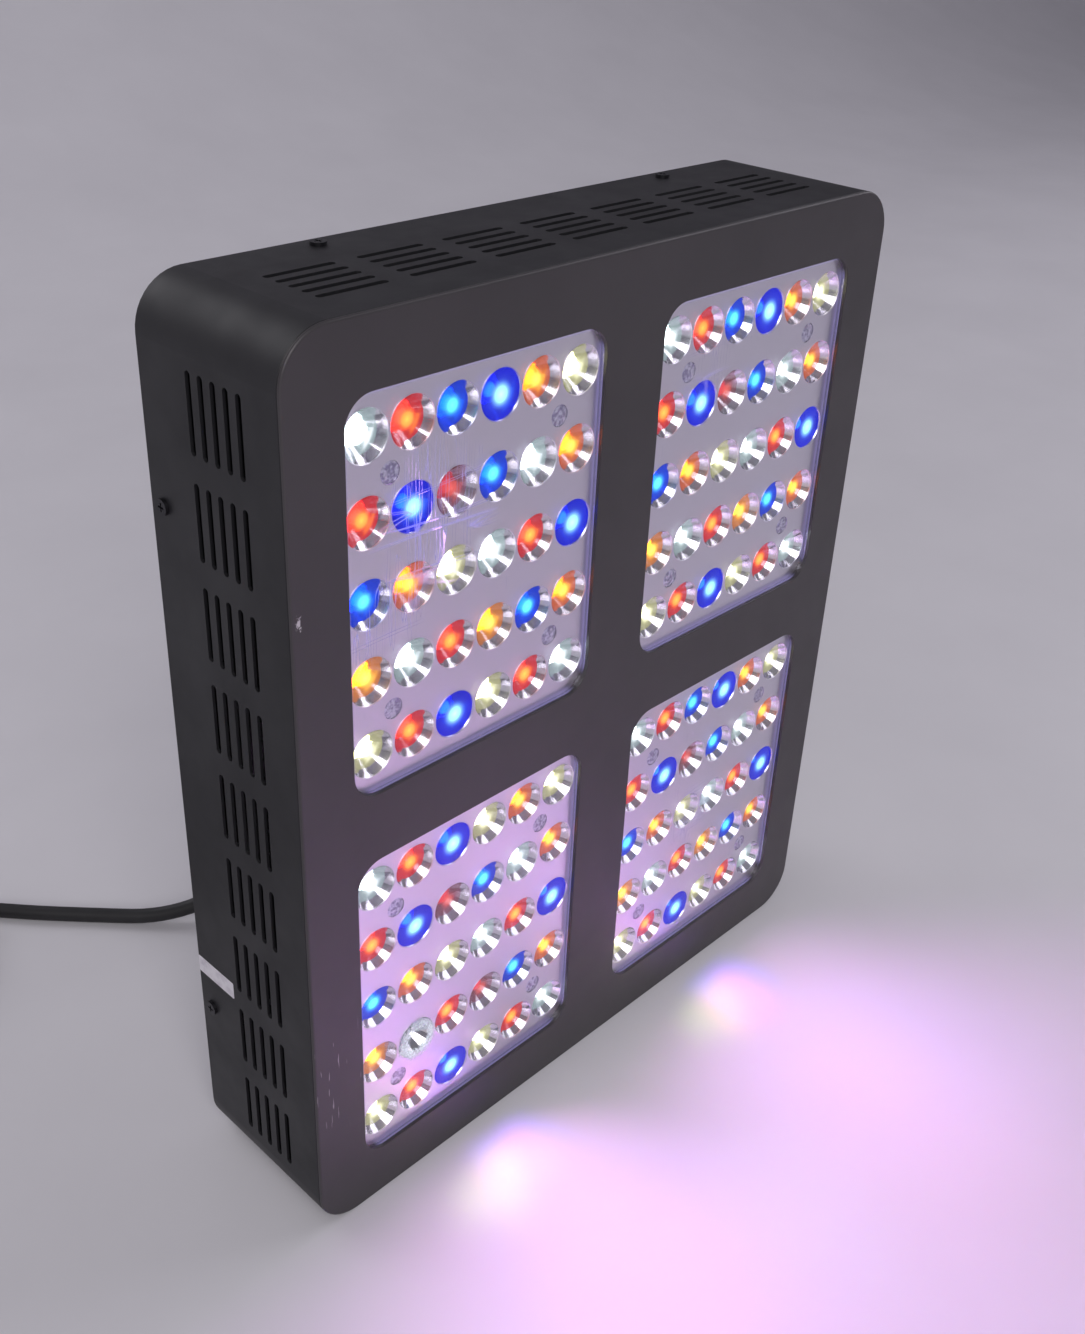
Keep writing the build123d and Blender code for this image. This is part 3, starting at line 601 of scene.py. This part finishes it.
def make_cord(material):
    """The whole mains cord as one swept line."""
    data = bpy.data.curves.new("mains_cord_line", "CURVE")
    data.dimensions = "3D"
    data.bevel_depth = cord_diameter / 2
    data.bevel_resolution = 5
    data.use_fill_caps = True
    route = cord_route()
    line = data.splines.new("NURBS")
    line.points.add(len(route) - 1)
    for point, place in zip(line.points, route):
        point.co = (*place, 1)
    line.order_u = 3
    line.use_endpoint_u = True
    line.resolution_u = 6
    data.materials.append(material)
    cord = bpy.data.objects.new("mains_cord_line", data)
    bpy.context.scene.collection.objects.link(cord)
    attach(cord, "root")
    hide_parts("mains_cord", "cord_coil")


# ---------------------------------------------------------------- small details
def make_hub_labels(material):
    """A blank round label on each fan's hub."""
    for name in modules:
        low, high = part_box("fan_rotor_" + name)
        centre = (low + high) / 2
        y = high.y + 0.0002
        radius, count = 0.0125, 40
        ring = [(centre.x + radius * math.cos(2 * math.pi * i / count), y,
                 centre.z + radius * math.sin(2 * math.pi * i / count)) for i in range(count)]
        label = add_object("hub_label_" + name, ring, [tuple(range(count))[::-1]], material, False)
        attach(label, "fan_rotor_" + name)


def lens_material(colour):
    """Clear lens with a painted glow of its LED's light, and a paler painted hot spot in the middle."""
    flood, painted_hot_spot_colour, share = lens_flood[colour]
    s = Shader("lens_" + colour)
    # Blue and royal-blue lenses also tint the cup seen through them blue: a painted flood of blue light.
    tint = (0.98, 0.98, 1.0) if share < 0.6 else (0.10, 0.25, 1.0)
    clear = s.shade("ShaderNodeBsdfTransparent", Color=tint)
    near = s.nodes.new("ShaderNodeAttribute")
    near.attribute_name = "core"
    painted_hot_spot = s.math("POWER", near.outputs["Fac"], 2.2)
    boost = 0.2 if colour == "far_red" else 1.6
    level = s.math("ADD", s.span(s.noise(60, 2), 0.3, 0.7, 0.8, 1.0), s.math("MULTIPLY", painted_hot_spot, boost))
    painted_glow = s.shade("ShaderNodeEmission", Color=s.mix(painted_hot_spot, flood, painted_hot_spot_colour), Strength=level)
    alive = s.span(s.distance(led_place(*burst_led), (1, 0, 1)), 0.0150, 0.0152)
    lit = s.math("ADD", share, s.math("MULTIPLY", painted_hot_spot, 0.6), True)
    s.show(s.blend(s.math("MULTIPLY", alive, lit), clear, painted_glow))
    s.material.cycles.emission_sampling = "NONE"
    return s.material


def make_lenses():
    """One thin lens in each cup, an object per LED colour, each carrying a painted glow; the royal-blue
    ones fill the cup's mouth.
    """
    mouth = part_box("reflector_top_left")[0].y + 0.0006
    for colour in led_glow:
        vertices, faces = [], []
        y, radius = (mouth, 0.0097) if colour == "royal_blue" else (mouth + 0.0030, 0.0080)
        count = 36
        for x, z in led_centres("leds_" + colour):
            add_disc(vertices, faces, (x, y, z), radius, count)
        lenses = add_object("lenses_" + colour, vertices, faces, lens_material(colour))
        # Falloff from each disc's middle outwards: the mask of the painted hot spot.
        core = lenses.data.attributes.new("core", "FLOAT", "POINT")
        disc = 1 + 3 * count
        values = [(1.0, 0.85, 0.25, 0.0)[(i % disc + count - 1) // count] for i in range(len(vertices))]
        core.data.foreach_set("value", values)
        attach(lenses, "root")


def led_centres(node):
    """X and Z of each LED in a node: the places of the module grid that have its vertices."""
    found = set()
    for vertex in list(frame["nodes"][node].data.vertices)[::9]:
        name = ("top_" if vertex.co.z > 0.2 else "bottom_") + ("left" if vertex.co.x < 0 else "right")
        x0, _, z0 = module_middle[name]
        column = round((vertex.co.x - x0) / led_pitch[0] + 3.5)
        row = round(3 - (vertex.co.z - z0) / led_pitch[1])
        x, _, z = led_place(name, column, row)
        found.add((x, z))
    return sorted(found)


def add_disc(vertices, faces, centre, radius, count):
    """A slightly domed disc facing the front."""
    x, y, z = centre
    first = len(vertices)
    vertices.append((x, y - 0.0004, z))
    for part in (0.30, 0.62, 1.0):
        for i in range(count):
            angle = 2 * math.pi * i / count
            rise = 0.0004 * (1 - part * part)
            reach = part * radius
            vertices.append((x + reach * math.cos(angle), y - rise, z + reach * math.sin(angle)))
    for i in range(count):
        j = (i + 1) % count
        faces.append((first, first + 1 + i, first + 1 + j))
        for ring in (first + 1, first + 1 + count):
            faces.append((ring + i, ring + count + i, ring + count + j, ring + j))


def make_well_films():
    """Crumpled clear-violet film that covers each screw well."""
    s = Shader("well_film")
    s.set(Base_Color=s.mix(s.span(s.noise(700, 3), 0.4, 0.6), (0.34, 0.31, 0.48), (0.80, 0.78, 0.92)),
          Metallic=0.5, Roughness=0.30)
    s.bump(s.noise(420, 3), 0.9, 0.0012)
    vertices, faces = [], []
    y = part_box("reflector_top_left")[0].y + 0.0006
    radius, count = 0.0043, 24
    reach_x, reach_z = 0.07, 0.085
    screws = frame["nodes"]["module_screws"].data.vertices
    for name in modules:
        cx, _, cz = module_middle[name]
        near = [v.co for v in screws if abs(v.co.x - cx) < reach_x and abs(v.co.z - cz) < reach_z]
        x1 = (min(c.x for c in near if c.x > cx) + max(c.x for c in near)) / 2 - cx
        z1 = (min(c.z for c in near if c.z > cz) + max(c.z for c in near)) / 2 - cz
        for a in (-1, 1):
            for b in (-1, 1):
                add_disc(vertices, faces, (cx + a * x1, y, cz + b * z1), radius, count)
    films = add_object("well_films", vertices, faces, s.material)
    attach(films, "root")


module_middle = {name: middle_of("window_cover_" + name) for name in modules}
make_camera()
finishes = slot_materials()
make_reliefs(finishes["cord_rubber"])
make_cord(finishes["cord_rubber"])
make_floor()
make_room_light()
make_studio_lights()
make_spill_lights()
paint_nodes(finishes)
make_hub_labels(finishes["sticker_white"])
make_lenses()
make_well_films()

scene = bpy.context.scene
scene.view_settings.view_transform = "Standard"
scene.cycles.max_bounces = 6
scene.cycles.transparent_max_bounces = 12
